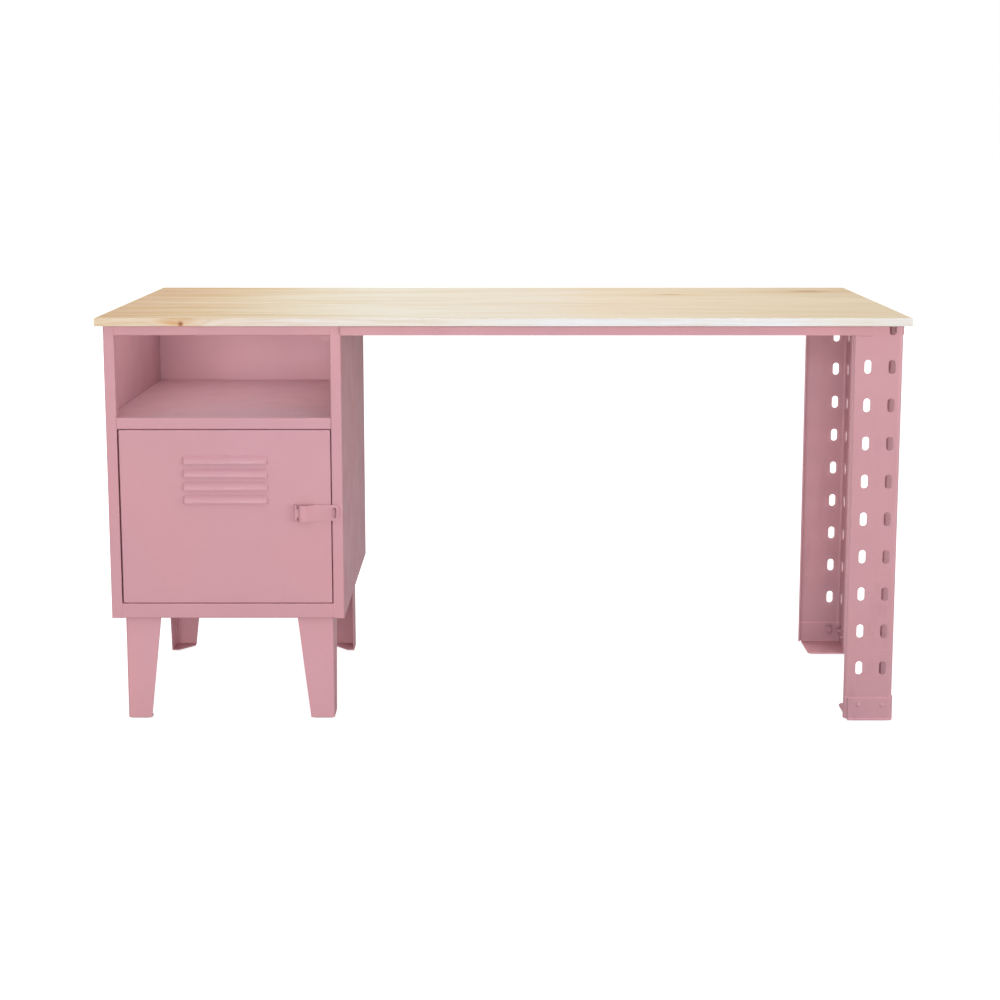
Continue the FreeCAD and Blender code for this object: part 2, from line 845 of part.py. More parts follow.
def door_leaf():
    """The pressed door: a pan with returned edges, and hooded louvres open at the bottom."""
    x0, x1, z0, z1 = door_left, door_right, door_bottom, door_top
    y0, y1 = front, front + door_thick
    pan = box(x0, x1, y0, y1, z0, z1)
    pan = round_edges(pan, 2.0, lambda e: e.CenterOfMass.y < y1 - 1)
    hollow = box(x0 + sheet, x1 - sheet, y0 + sheet, y1 - sheet, z0 + sheet, z1 - sheet)
    hollow = round_edges(hollow, 1.0, lambda e: e.CenterOfMass.y < y1 - sheet - 1)
    mouth = box(x0 + door_lip, x1 - door_lip, y1 - 2, y1 + 1, z0 + door_lip, z1 - door_lip)
    door = pan.cut(hollow).cut(mouth)
    outer = louvre_solid(louvre_width, louvre_height, louvre_proud, 0.0, 0.4, 4.5)
    inner_size = (louvre_width - 2 * sheet, louvre_height - sheet, louvre_proud - sheet)
    inner = louvre_solid(*inner_size, 0.6, sheet + 1, 3.6)
    for i in range(louvre_count):
        foot_z = louvre_first_top - louvre_height - i * louvre_pitch
        foot = Vector((x0 + x1) / 2, front, foot_z)
        door = door.fuse(outer.translated(foot)).cut(inner.translated(foot))
    cutters = [upright(bush_radius, pivot_x, pivot_y, z - 2, z + 2) for z in (z0, z1)]
    cutters += [through_y(rivet_radius, rivet_x, z, front - 1, front + 2) for z in rivet_z]
    return cut_all(door.removeSplitter(), cutters)


def door_stiffener():
    """A hat section welded upright inside the door, behind the hasp."""
    brim, foot, top = 26.0, 15.0, 11.0  # half widths
    seat = front + sheet * 1.5
    crown = front + 11.5
    half_line = [(brim, seat), (foot, seat), (top, crown)]
    line = [(stiffener_x - across, y) for across, y in half_line]
    line += [(stiffener_x + across, y) for across, y in reversed(half_line)]
    bottom, length = door_bottom + 11, door_top - door_bottom - 24
    return folded(line, sheet, sheet_bend, plan(bottom), Z * length)


def hinge_bush(face_z, out):
    """A nylon bush pressed into the door's edge; out points away from the door."""
    centre = Vector(pivot_x, pivot_y, face_z)
    collar = rod(bush_collar_radius, centre, centre + out * bush_collar_high)
    sleeve = rod(bush_radius, centre, centre - out * 7)
    bore = rod(bush_bore, centre + out * 5, centre - out * 10)
    return collar.fuse(sleeve).cut(bore).removeSplitter()


def hinge_pin(seat_z, out):
    """A headed pin: its head bears on the locker's sheet at seat_z; out points to the head."""
    seat = Vector(pivot_x, pivot_y, seat_z)
    head = rod(pin_head_radius, seat, seat + out * pin_head_high)
    shank = rod(hinge_pin_radius, seat, seat - out * pin_length)
    return head.fuse(shank).removeSplitter()


# ---- hasp and staple ---------------------------------------------------------------------------

hasp_plate_thick = 1.5
hasp_plate_wide = 20.0
hasp_low = hasp_middle - hasp_height / 2
hasp_high = hasp_middle + hasp_height / 2
knuckle_radius = 4.0
hasp_pin_radius = 1.8
strap_bore = 1.86
strap_barrel_half = 8.0
knuckle_gap = 0.3
tongue_slot_width = 5.6
tongue_slot_length = 20.0
tongue_end = staple_x + 8.5
padlock_radius = 3.6
padlock_y = front - 8.4
staple_end = front - 13.7


def hasp_cylinder(radius, low, high):
    """A cylinder about the hasp's hinge axis."""
    return upright(radius, hasp_pin_x, hasp_pin_y, low, high)


def hasp_base():
    """The plate riveted to the door, with a knuckle above and below the strap's barrel."""
    plate_right = hasp_pin_x + hasp_plate_wide
    plate = box(hasp_pin_x, plate_right, front - hasp_plate_thick, front, hasp_low, hasp_high)
    plate = round_edges(
        plate,
        4.0,
        lambda e: e.Length < hasp_plate_thick + 0.1 and e.CenterOfMass.x > plate_right - 1,
    )
    barrel = hasp_cylinder(knuckle_radius, hasp_low, hasp_high)
    room = strap_barrel_half + knuckle_gap
    low, high = hasp_middle - room, hasp_middle + room
    gap = box(hasp_pin_x - 6, hasp_pin_x + 5, front - 20, front + 1, low, high)
    base = plate.fuse(barrel).cut(gap)
    cutters = [hasp_cylinder(hasp_pin_radius, hasp_low - 1, hasp_high + 1)]
    cutters += [through_y(rivet_radius, rivet_x, z, front - 3, front + 1) for z in rivet_z]
    return cut_all(base.removeSplitter(), cutters)


def hasp_pin():
    """A pin peened over at both ends."""
    head_radius, head_high = 2.7, 0.9
    pin = hasp_cylinder(hasp_pin_radius, hasp_low, hasp_high)
    heads = [
        hasp_cylinder(head_radius, hasp_low - head_high, hasp_low),
        hasp_cylinder(head_radius, hasp_high, hasp_high + head_high),
    ]
    return pin.multiFuse(heads).removeSplitter()


def hasp_strap():
    """The swinging strap: barrel, raised finger pull, slope, and a slotted tongue over the staple."""
    line_y = hasp_pin_y - knuckle_radius + hasp_thick / 2
    crest_y = front - 11.5
    tongue_y = front - 1.0 - hasp_thick / 2
    line = [
        (hasp_pin_x, line_y),
        (hasp_pin_x + 5, line_y),
        (hasp_pin_x + 9, crest_y),
        (hasp_pin_x + 21, crest_y),
        (hasp_pin_x + 35, tongue_y),
        (tongue_end, tongue_y),
    ]
    strap = folded(line, hasp_thick, [2.0, 2.6, 3.0, 3.0], plan(hasp_low), Z * hasp_height)
    strap = round_edges(
        strap,
        7.0,
        lambda e: e.Length < hasp_thick + 0.1 and abs(e.CenterOfMass.x - tongue_end) < 0.1,
    )
    barrel_low, barrel_high = hasp_middle - strap_barrel_half, hasp_middle + strap_barrel_half
    barrel = hasp_cylinder(knuckle_radius, barrel_low, barrel_high)
    notches = []
    for low, high in ((hasp_low - 1, barrel_low), (barrel_high, hasp_high + 1)):
        notches.append(box(hasp_pin_x - 6, hasp_pin_x + 5.4, front - 20, front, low, high))
    strap = cut_all(strap, notches).fuse(barrel)
    bore = hasp_cylinder(strap_bore, hasp_low - 1, hasp_high + 1)
    slot_centre = Vector(staple_x, tongue_y, hasp_middle)
    slot = slot_cutter(slot_centre, tongue_slot_width, tongue_slot_length, Y, 8)
    return cut_all(strap.removeSplitter(), [bore, slot])


def hasp_rivets():
    """Two rivets through the hasp's plate and the door."""
    head_radius, head_high, tail_radius, tail_high = 3.4, 1.5, 3.2, 1.4
    inside = front + sheet
    rivets = []
    for z in rivet_z:
        at = Vector(rivet_x, front - hasp_plate_thick, z)
        grip = hasp_plate_thick + sheet
        rivet = dome_bolt(rivet_radius, head_radius, head_high, at, -Y, grip)
        tail = through_y(tail_radius, rivet_x, z, inside, inside + tail_high)
        rivets.append(rivet.fuse(tail).removeSplitter())
    return rivets


def staple():
    """The padlock eye: a blade through the right post, welded to a plate behind it."""
    low, high = hasp_middle - staple_slot_half, hasp_middle + staple_slot_half
    half, inside = staple_thick / 2, front + sheet
    blade = box(staple_x - half, staple_x + half, staple_end, inside, low, high)
    blade = round_edges(
        blade,
        6.0,
        lambda e: e.Length < staple_thick + 0.1 and abs(e.CenterOfMass.y - staple_end) < 0.1,
    )
    bend_room, plate_half, plate_thick = 2.2, 12.0, 1.5
    plate_left, plate_right = locker_right - stile + bend_room, locker_right - bend_room
    plate_low, plate_high = hasp_middle - plate_half, hasp_middle + plate_half
    plate = box(plate_left, plate_right, inside, inside + plate_thick, plate_low, plate_high)
    centre = Vector(staple_x, padlock_y, hasp_middle)
    eye = rod(padlock_radius, centre - X * 3, centre + X * 3)
    return blade.fuse(plate).removeSplitter().cut(eye)


# ---- door stop and catch -----------------------------------------------------------------------

stop_face = front + 18.5
bumper_x = locker_right - stile - 8.0
catch_left, catch_right = left + 330.0, left + 375.0
catch_face = front + 17.5
catch_back = catch_face + 18.0
catch_screw_radius = 1.6
catch_screw_x = (catch_left + 6, catch_right - 6)
catch_screw_y = catch_face + 11.0
catch_low = door_top - 12.0
catch_high = shelf_top - sheet


def door_stop():
    """A folded strip inside the right post that the door closes against."""
    wall = locker_right - stile + 1.5 * sheet
    line = [
        (wall, front + 4),
        (wall, stop_face + sheet / 2),
        (locker_right - stile - 11, stop_face + sheet / 2),
    ]
    end_inset = 20.0
    length = door_top - door_bottom - 2 * end_inset
    return folded(line, sheet, sheet_bend, plan(door_bottom + end_inset), Z * length)


def door_bumpers():
    """Rubber buttons on the stop strip."""
    radius, high, from_end = 4.0, 1.8, 70.0
    places = [Vector(bumper_x, stop_face, z) for z in (door_bottom + from_end, door_top - from_end)]
    return [dome(radius, high, p, -Y) for p in places]


def catch_magnet():
    """A flat magnet in the front of the catch's housing."""
    half_wide, deep = 13.0, 8.0
    middle = (catch_left + catch_right) / 2
    low, high = catch_low + 1.5, door_top - 1
    return box(middle - half_wide, middle + half_wide, catch_face, catch_face + deep, low, high)


def catch_body():
    """The moulded housing of a magnetic catch, screwed up under the shelf."""
    body = box(catch_left, catch_right, catch_face, catch_back, catch_low, catch_high)
    middle_z = (catch_low + catch_high) / 2
    body = round_edges(body, 2.0, lambda e: abs(e.CenterOfMass.z - middle_z) < 1)
    low, high = catch_low - 1, catch_high + 1
    holes = [upright(catch_screw_radius, x, catch_screw_y, low, high) for x in catch_screw_x]
    return cut_all(body.cut(catch_magnet()), holes)


def catch_strike():
    """The steel plate on the door's top return that the magnet holds."""
    seat, face = front + door_thick, catch_face - 0.4
    low, high = door_top - door_lip + 0.4, door_top - 0.4
    plate = box(catch_left + 2, catch_right - 2, seat, face, low, high)
    return round_edges(plate, 2.0, lambda e: e.Length < face - seat + 0.1)


def catch_screws():
    """Screws up into the shelf, with their ends flush with its top."""
    head_radius, head_high = 3.0, 1.8
    length = shelf_top - catch_low
    screws = []
    for x in catch_screw_x:
        at = Vector(x, catch_screw_y, catch_low)
        screws.append(dome_bolt(catch_screw_radius, head_radius, head_high, at, -Z, length))
    return screws


# ---- the whole desk ----------------------------------------------------------------------------


def desk():
    """Every sub-part by name: one solid, or a list of separate solids where a part repeats."""
    leg, shoe = slotted_angle(), foot_shoe()
    parts = {
        "worktop": worktop(),
        "worktop_screws": worktop_screws(),
        "front_rail": front_rail(),
        "back_rail": back_rail(),
        "side_rail": side_rail(),
        "cross_rail": cross_rail(),
        "rail_bolts": rail_bolts(),
        "rail_nuts": rail_nuts(),
        "corner_bracket_front": corner_bracket(),
        "corner_bracket_back": mirror_y(corner_bracket(), base_mid),
        "rail_to_locker_bolts": joint_bolts(),
        "rail_to_locker_nuts": joint_nuts(),
        "slotted_leg_front": at_front_corner(leg),
        "slotted_leg_back": at_back_corner(leg),
        "foot_shoe_front": at_front_corner(shoe),
        "foot_shoe_back": at_back_corner(shoe),
        "foot_shoe_bolts": shoe_bolts(),
        "foot_shoe_nuts": shoe_nuts(),
        "slotted_leg_glides": angle_leg_glides(),
        "locker_side_left": locker_side_left(),
        "locker_side_right": locker_side_right(),
        "locker_top": locker_top(),
        "niche_shelf": niche_shelf(),
        "locker_floor": locker_floor(),
        "locker_back": locker_back(),
        "locker_back_screws": back_screws(),
        "locker_leg_bolts": leg_bolts(),
        "locker_leg_nuts": leg_nuts(),
        "locker_leg_glides": locker_leg_glides(),
        "hinge_pin_top": hinge_pin(shelf_top - shelf_rail_drop + sheet, Z),
        "hinge_pin_bottom": hinge_pin(floor_top - sheet, -Z),
        "hinge_bush_top": hinge_bush(door_top, Z),
        "hinge_bush_bottom": hinge_bush(door_bottom, -Z),
        "door_leaf": door_leaf(),
        "door_stiffener": door_stiffener(),
        "hasp_base": hasp_base(),
        "hasp_pin": hasp_pin(),
        "hasp_strap": hasp_strap(),
        "hasp_rivets": hasp_rivets(),
        "staple": staple(),
        "door_stop": door_stop(),
        "door_bumpers": door_bumpers(),
        "catch_body": catch_body(),
        "catch_magnet": catch_magnet(),
        "catch_strike": catch_strike(),
        "catch_screws": catch_screws(),
    }
    for corner, shape in four_corners(locker_leg()):
        parts["locker_leg_" + corner] = shape
    return parts


def export(name, made):
    """Writes one node's file and prints its size."""
    shapes = made if isinstance(made, list) else [made]
    solids = [solid for shape in shapes for solid in shape.Solids]
    whole = all(s.isValid() and s.Volume > 0 for s in solids)
    shape = solids[0] if len(solids) == 1 else Part.Compound(solids)
    shape.exportStep(os.path.join("parts", name + ".step"))
    size = shape.BoundBox
    extent = f"{size.XLength:8.1f} {size.YLength:7.1f} {size.ZLength:7.1f}"
    print(f"{name:22s} {len(solids):2d} solid(s) {extent}{'' if whole else '  INVALID'}")


def main():
    os.makedirs("parts", exist_ok=True)
    for name, made in desk().items():
        export(name, made)


main()
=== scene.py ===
"""Looks for the locker desk: materials, weld beads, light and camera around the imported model. Metres."""

import json
import math

import bmesh
import bpy
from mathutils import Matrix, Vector, noise

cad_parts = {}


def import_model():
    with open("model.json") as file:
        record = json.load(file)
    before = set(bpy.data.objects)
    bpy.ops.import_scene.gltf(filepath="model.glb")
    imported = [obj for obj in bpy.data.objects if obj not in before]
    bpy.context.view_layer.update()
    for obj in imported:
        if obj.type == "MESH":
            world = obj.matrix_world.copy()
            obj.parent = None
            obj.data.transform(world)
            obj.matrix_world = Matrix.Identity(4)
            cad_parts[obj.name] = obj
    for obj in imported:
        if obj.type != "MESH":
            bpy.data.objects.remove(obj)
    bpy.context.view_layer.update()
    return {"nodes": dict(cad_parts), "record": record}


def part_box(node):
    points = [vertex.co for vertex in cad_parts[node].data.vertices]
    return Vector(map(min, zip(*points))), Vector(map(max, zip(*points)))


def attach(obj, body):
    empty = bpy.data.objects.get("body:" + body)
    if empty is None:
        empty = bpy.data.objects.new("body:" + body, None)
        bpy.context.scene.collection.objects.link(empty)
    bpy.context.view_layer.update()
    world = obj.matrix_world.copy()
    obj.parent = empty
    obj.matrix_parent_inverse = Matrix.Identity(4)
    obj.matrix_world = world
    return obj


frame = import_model()
nodes = frame["nodes"]

# ---- camera ------------------------------------------------------------------------------------

CAMERA_SENSOR = 36.0  # mm
CAMERA_LENS = 57.456  # mm
CAMERA_PITCH = 7.56  # degrees below level
CAMERA_PLACE = (0.0, -3.162, 1.084)
CAMERA_SHIFT = (-0.0034, -0.15)

# ---- colours, linear RGB -----------------------------------------------------------------------

PINK_WARM = (0.515, 0.250, 0.278)
PINK_COOL = (0.485, 0.246, 0.284)
FRONT_LEG_PAINTED_LIGHT = (1.08, 1.09, 1.08)  # painted light: the locker's front legs are painted a shade paler than its body
COOLER_LEGS = (0.950, 0.985, 0.980)  # the angle legs are a shade cooler than the locker
SHOE_EDGE_HIGHLIGHT = (1.28, 1.25, 1.25)  # painted highlight along the shoes' top edges and sole joints
CLOUD = (0.93, 0.92, 0.925)  # this and the next three multiply the pink
SPECK = (0.90, 0.88, 0.89)
LOW_PAINTED_SHADE = (0.845, 0.865, 0.872)  # painted shade, darker towards the floor
GRIME = (0.80, 0.79, 0.80)
SCUFF = (0.60, 0.40, 0.43)

ZINC = (0.56, 0.57, 0.59)
DARK_NYLON = (0.045, 0.045, 0.048)
RUBBER = (0.50, 0.48, 0.44)
FERRITE = (0.03, 0.03, 0.034)

LATE_WOOD = (0.85, 0.71, 0.53)  # this and the next seven multiply the wood's tone
BROAD_STREAK = (0.90, 0.80, 0.64)
FINE_STREAK = (0.84, 0.73, 0.58)
FIBRE = (0.84, 0.76, 0.66)
DARK_BAND = (0.86, 0.74, 0.56)  # near the front edge, at the left
BACK_CORNER = (0.94, 0.90, 0.86)
KNOT_TAIL = (0.93, 0.72, 0.48)
KNOT_HALO = (0.94, 0.78, 0.60)
KNOT = (0.44, 0.205, 0.085)
KNOT_HEART = (0.190, 0.045, 0.012)

FLOOR_PALE = (0.45, 0.45, 0.45)
FLOOR_PALER = (0.46, 0.46, 0.46)
WHITE = (1.0, 1.0, 1.0)

# ---- light -------------------------------------------------------------------------------------

FLOOR_RADIUS = 60.0
FLOOR_GLOW = 0.80
SKY_LOW = 0.16  # at the horizon
SKY_HIGH = 1.20  # overhead

# name, watts, place, the point it faces, width, height
SOFTBOXES = (
    ("front_softbox", 205.0, (-0.90, -6.0, 1.15), (-0.1, 0.0, 0.40), 3.0, 2.4),
    ("right_softbox", 66.0, (3.6, -2.1, 0.80), (-0.3, 0.0, 0.45), 1.6, 1.2),
    ("left_back_softbox", 76.0, (-3.0, 1.7, 0.60), (0.7, -0.1, 0.25), 1.2, 1.0),
    ("top_softbox", 26.0, (0.2, 1.2, 3.4), (0.0, 0.0, 0.7), 2.4, 1.6),
)

NICHE_LIGHT_WATTS = 0.64
NICHE_LIGHT = (0.84, 1.0, 0.98)  # less red, because the pink walls around it add red
NICHE_LIGHT_WIDE = 0.37
NICHE_LIGHT_DEEP = 0.42
NICHE_LIGHT_BACK = 0.235  # from the locker's front to the middle of the niche's light
NICHE_LIGHT_LEFT = 0.56  # share of the way from the locker's right side to its left
NICHE_LIGHT_DROP = 0.004  # below the locker's top

KNEE_LIGHT_WATTS = 0.68
KNEE_LIGHT_WIDE = 0.22
KNEE_LIGHT_HIGH = 0.60
KNEE_LIGHT_INWARD = 0.24  # from the back leg to the knee light, towards the locker
KNEE_LIGHT_Y = -0.20
KNEE_LIGHT_Z = 0.34
KNEE_TARGET_IN = 0.09  # from the back leg's left edge to the point the knee light faces

# ---- seams and welds ---------------------------------------------------------------------------

SEAM_RADIUS = 0.0016  # filler in the bends beside the locker's rails
SEAM_PROUD = 0.0003  # in front of the locker's posts
SEAM_END = 0.0006  # from a rail's edge to the end of its seam
WELD_RADIUS = 0.0024
WELD_END = 0.001  # from a rail's edge to the end of its weld
LAP_RADIUS = 0.0018  # along the rails' ends, where they lap the angle legs
LEG_CORNER = 0.008  # from a leg's left edge to the start of its lap
SHOE_BEAD_RADIUS = 0.0011
SHOE_BEAD_SUNK = 0.0006  # into the shoe's face
LIP_SUNK = 0.0004  # under the shoe's top edge
LIP_HIGH = 0.0026  # half height of the painted highlight band
SOLE_JOINT = 0.0030  # height of the sole's weld above the shoe's foot
SOLE_WELD_ENDS = (0.003, 0.012)  # in from the shoe's left and right edges
LIP_ENDS = (0.001, 0.010)  # the same for the lip along the shoe's top

BEAD_SIDES = 14
RING_STEP = 0.22  # between a bead's rings, in radii
FEWEST_RINGS = 6
RIPPLE_PITCH = 1.1  # in radii
RIPPLE_HIGH = 0.16  # of the radius
DRIFT_HIGH = 0.22  # of the radius
DRIFT_SCALE = 260.0  # per metre
BLUNT_END = 0.1  # a bead's thickness at its very end, before the root is taken


# ---- node helpers ------------------------------------------------------------------------------


class Graph:
    """Short names for building one material's nodes."""

    def __init__(self, name):
        self.material = bpy.data.materials.new(name)
        self.material.use_nodes = True
        self.tree = self.material.node_tree
        self.tree.nodes.clear()
        self.shader = self.add("ShaderNodeBsdfPrincipled")
        output = self.add("ShaderNodeOutputMaterial")
        self.link(self.shader.outputs["BSDF"], output.inputs["Surface"])
        self.place = self.add("ShaderNodeTexCoord").outputs["Object"]

    def add(self, kind, **settings):
        node = self.tree.nodes.new(kind)
        for key, value in settings.items():
            setattr(node, key, value)
        return node

    def link(self, source, target):
        self.tree.links.new(source, target)

    def feed(self, socket, value):
        """Links a socket, or sets its plain value."""
        if isinstance(value, bpy.types.NodeSocket):
            self.link(value, socket)
        elif isinstance(value, (tuple, list)) and len(value) == 3 and socket.type == "RGBA":
            socket.default_value = (*value, 1.0)
        else:
            socket.default_value = value

    def math(self, operation, a, b=0.0):
        node = self.add("ShaderNodeMath", operation=operation)
        self.feed(node.inputs[0], a)
        self.feed(node.inputs[1], b)
        return node.outputs[0]

    def vector(self, operation, a, b=(0.0, 0.0, 0.0)):
        node = self.add("ShaderNodeVectorMath", operation=operation)
        self.feed(node.inputs[0], a)
        self.feed(node.inputs[1], b)
        return node.outputs["Value" if operation == "LENGTH" else "Vector"]

    def split(self, vector):
        node = self.add("ShaderNodeSeparateXYZ")
        self.link(vector, node.inputs[0])
        return node.outputs[0], node.outputs[1], node.outputs[2]

    def stretch(self, scale, place=None):
        """The place scaled per axis, for patterns that are longer one way than another."""
        return self.vector("MULTIPLY", place or self.place, scale)

    def noise(self, scale, detail=3.0, roughness=0.55, place=None):
        node = self.add("ShaderNodeTexNoise")
        self.feed(node.inputs["Vector"], place or self.place)
        node.inputs["Scale"].default_value = scale
        node.inputs["Detail"].default_value = detail
        node.inputs["Roughness"].default_value = roughness
        return node.outputs["Fac"]

    def span(self, value, low, high, to_low=0.0, to_high=1.0, smooth=True):
        """Maps low..high to to_low..to_high and holds it outside."""
        node = self.add("ShaderNodeMapRange", clamp=True)
        node.interpolation_type = "SMOOTHSTEP" if smooth else "LINEAR"
        for key, v in (("Value", value), ("From Min", low), ("From Max", high)):
            self.feed(node.inputs[key], v)
        self.feed(node.inputs["To Min"], to_low)
        self.feed(node.inputs["To Max"], to_high)
        return node.outputs["Result"]

    def band(self, value, middle, half):
        """1 at the middle, falling to 0 at half away."""
        away = self.math("ABSOLUTE", self.math("SUBTRACT", value, middle))
        return self.span(away, 0.0, half, 1.0, 0.0)

    def mix(self, share, a, b, blend="MIX"):
        node = self.add("ShaderNodeMix", data_type="RGBA", blend_type=blend)
        self.feed(node.inputs[0], share)
        self.feed(node.inputs[6], a)
        self.feed(node.inputs[7], b)
        return node.outputs[2]

    def tint(self, share, colour, by):
        """Multiplies a colour by another, as far as share says."""
        return self.mix(share, colour, by, "MULTIPLY")

    def ramp(self, value, stops):
        """A colour from stops of (position, colour)."""
        node = self.add("ShaderNodeValToRGB")
        elements = node.color_ramp.elements
        while len(elements) < len(stops):
            elements.new(0.5)
        for element, (at, colour) in zip(elements, stops):
            element.position = at
            element.color = (*colour, 1.0)
        self.feed(node.inputs["Fac"], value)
        return node.outputs["Color"]

    def bump(self, height, distance, strength, under=None):
        """Adds a bump of at most distance metres, on top of another one where under gives its normal."""
        node = self.add("ShaderNodeBump")
        node.inputs["Strength"].default_value = strength
        node.inputs["Distance"].default_value = distance
        self.feed(node.inputs["Height"], height)
        if under is not None:
            self.link(under, node.inputs["Normal"])
        return node.outputs["Normal"]

    def set(self, **inputs):
        """Feeds the shader's inputs, with underscores for the spaces in their names."""
        for key, value in inputs.items():
            self.feed(self.shader.inputs[key.replace("_", " ")], value)
        return self.material


# ---- powder coat, zinc and mouldings -----------------------------------------------------------

LEG_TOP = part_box("locker_floor")[0][2]
SHOE_FOOT, SHOE_TOP = (corner[2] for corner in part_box("foot_shoe_front"))
ANGLE_LEGS_X = 0.60  # in the knee space, left of the angle legs
LOCKER_LEGS_X = -0.20  # in the knee space, right of the locker's legs
FRONT_LEGS_Y = (-0.10, -0.16)  # between the back legs and the front legs


def powder_coat():
    """Satin pink powder coat: thickness drift, dust nibs, orange peel, wear and painted shade towards the
    floor, and painted light on the legs.
    """
    g = Graph("pink_powder_coat")
    drift = g.noise(2.6, detail=3.0)
    colour = g.mix(g.span(drift, 0.35, 0.65), PINK_COOL, PINK_WARM)
    cloud = g.noise(9.0, detail=4.0, roughness=0.6)
    colour = g.tint(g.span(cloud, 0.35, 0.75, 0.0, 0.30), colour, CLOUD)
    speck = g.noise(700.0, detail=1.0)
    colour = g.tint(g.span(speck, 0.56, 0.72, 0.0, 0.35), colour, SPECK)
    colour = coat_wear_and_painted_light(g, colour)
    rough = g.span(g.noise(14.0, detail=3.0), 0.3, 0.7, 0.40, 0.50)
    return g.set(Base_Color=colour, Roughness=rough, Normal=coat_skin(g), Specular_IOR_Level=0.36)


def coat_wear_and_painted_light(g, colour):
    """The legs' tones, with painted shade towards the floor, grime, fine scuffs and painted highlights
    along the shoes' edges, mostly on the angle legs; the locker's front legs are painted paler.
    """
    x, y, z = g.split(g.place)
    low_down = g.span(z, 1.0, 0.0, smooth=False)
    on_angle_legs = g.span(x, ANGLE_LEGS_X, ANGLE_LEGS_X + 0.02)
    # how low a point is, full on the angle legs: it sets the painted shade towards the floor and how
    # strong the grime and scuffs are
    low_shade_and_wear = g.math("MULTIPLY", low_down, g.span(on_angle_legs, 0.0, 1.0, 0.15, 1.0))
    on_locker_legs = g.math("MULTIPLY", g.span(z, LEG_TOP, LEG_TOP - 0.004), g.span(x, 0.0, LOCKER_LEGS_X))
    # painted light: the locker's front legs are painted a shade paler
    painted_light_front_legs = g.math("MULTIPLY", on_locker_legs, g.span(y, *FRONT_LEGS_Y))
    colour = g.tint(painted_light_front_legs, colour, FRONT_LEG_PAINTED_LIGHT)
    colour = g.tint(on_angle_legs, colour, COOLER_LEGS)
    # painted shade: the coat darker towards the floor
    colour = g.tint(g.math("MULTIPLY", low_shade_and_wear, 0.9), colour, LOW_PAINTED_SHADE)

    grime = g.noise(1.0, detail=5.0, roughness=0.68, place=g.stretch((26.0, 26.0, 7.0)))
    grimy = g.math("MULTIPLY", g.span(grime, 0.50, 0.72), g.math("MULTIPLY", low_shade_and_wear, 0.55))
    colour = g.tint(grimy, colour, GRIME)
    scuff = g.noise(1.0, detail=4.0, roughness=0.6, place=g.stretch((22.0, 22.0, 620.0)))
    rubbed_here = g.span(g.noise(11.0, detail=2.0), 0.52, 0.66)
    scuffed = g.math("MULTIPLY", g.math("MULTIPLY", g.span(scuff, 0.56, 0.70), rubbed_here), low_shade_and_wear)
    colour = g.mix(g.math("MULTIPLY", scuffed, 0.22), colour, SCUFF)

    # painted highlight: paler bands along the shoes' top edges and sole joints, on the angle legs
    shoe_edge_highlights = g.math("MAXIMUM", g.band(z, SHOE_TOP, LIP_HIGH), g.band(z, SHOE_FOOT + SOLE_JOINT, LIP_HIGH))
    return g.tint(g.math("MULTIPLY", shoe_edge_highlights, on_angle_legs), colour, SHOE_EDGE_HIGHLIGHT)


def coat_skin(g):
    """The bump of a slow swell, orange peel and dust nibs."""
    peel = g.noise(420.0, detail=2.0, roughness=0.45)
    swell = g.noise(60.0, detail=1.0)
    nibs = g.span(g.noise(620.0, detail=0.0), 0.76, 0.82)
    normal = g.bump(swell, 0.00025, 0.35)
    normal = g.bump(peel, 0.00009, 0.8, normal)
    return g.bump(nibs, 0.00010, 0.4, normal)


def zinc_plate():
    g = Graph("zinc_plated_steel")
    spangle = g.noise(180.0, detail=3.0)
    colour = g.mix(spangle, tuple(c * 0.82 for c in ZINC), ZINC)
    rough = g.span(spangle, 0.3, 0.7, 0.28, 0.46)
    normal = g.bump(g.noise(700.0, detail=2.0), 0.00004, 0.6)
    return g.set(Base_Color=colour, Metallic=1.0, Roughness=rough, Normal=normal)


def moulded(name, colour, roughness, subsurface=0.0):
    """A moulded plastic, rubber or ceramic piece with a fine grained skin."""
    g = Graph(name)
    grain = g.noise(1100.0, detail=2.0)
    mottle = g.noise(70.0, detail=2.0)
    shade = g.mix(g.span(mottle, 0.3, 0.7), tuple(c * 0.86 for c in colour), colour)
    rough = g.span(grain, 0.3, 0.7, roughness - 0.06, roughness + 0.06)
    normal = g.bump(grain, 0.00004, 0.7)
    return g.set(Base_Color=shade, Roughness=rough, Normal=normal, Subsurface_Weight=subsurface)


# ---- pine --------------------------------------------------------------------------------------

BOARD_LOW, BOARD_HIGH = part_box("worktop")
HALF_WIDE = BOARD_HIGH[0]
BOARD_FRONT = BOARD_LOW[1]
BOARD_TOP = BOARD_HIGH[2]
PITH = (-0.05, BOARD_TOP - 0.165)  # y and z of the growth rings' centre, far under the board
RINGS_PER_METRE = 150.0

# centre; half length and half width; how dark; how far the grain bends round it
KNOTS = (
    ((-0.583, BOARD_FRONT, BOARD_TOP - 0.0105), (0.0064, 0.0062), 1.0, 0.017),
    ((0.347, 0.140, BOARD_TOP), (0.027, 0.0110), 0.50, 0.006),
    ((0.645, 0.208, BOARD_TOP), (0.046, 0.019), 0.58, 0.008),
)
KNOT_RINGS = 18.0  # radians of ring pattern per knot radius
BENT_LONG = 0.12  # how fast the bent grain falls off along the board, against the knot itself
BENT_WIDE = 0.40  # and across it

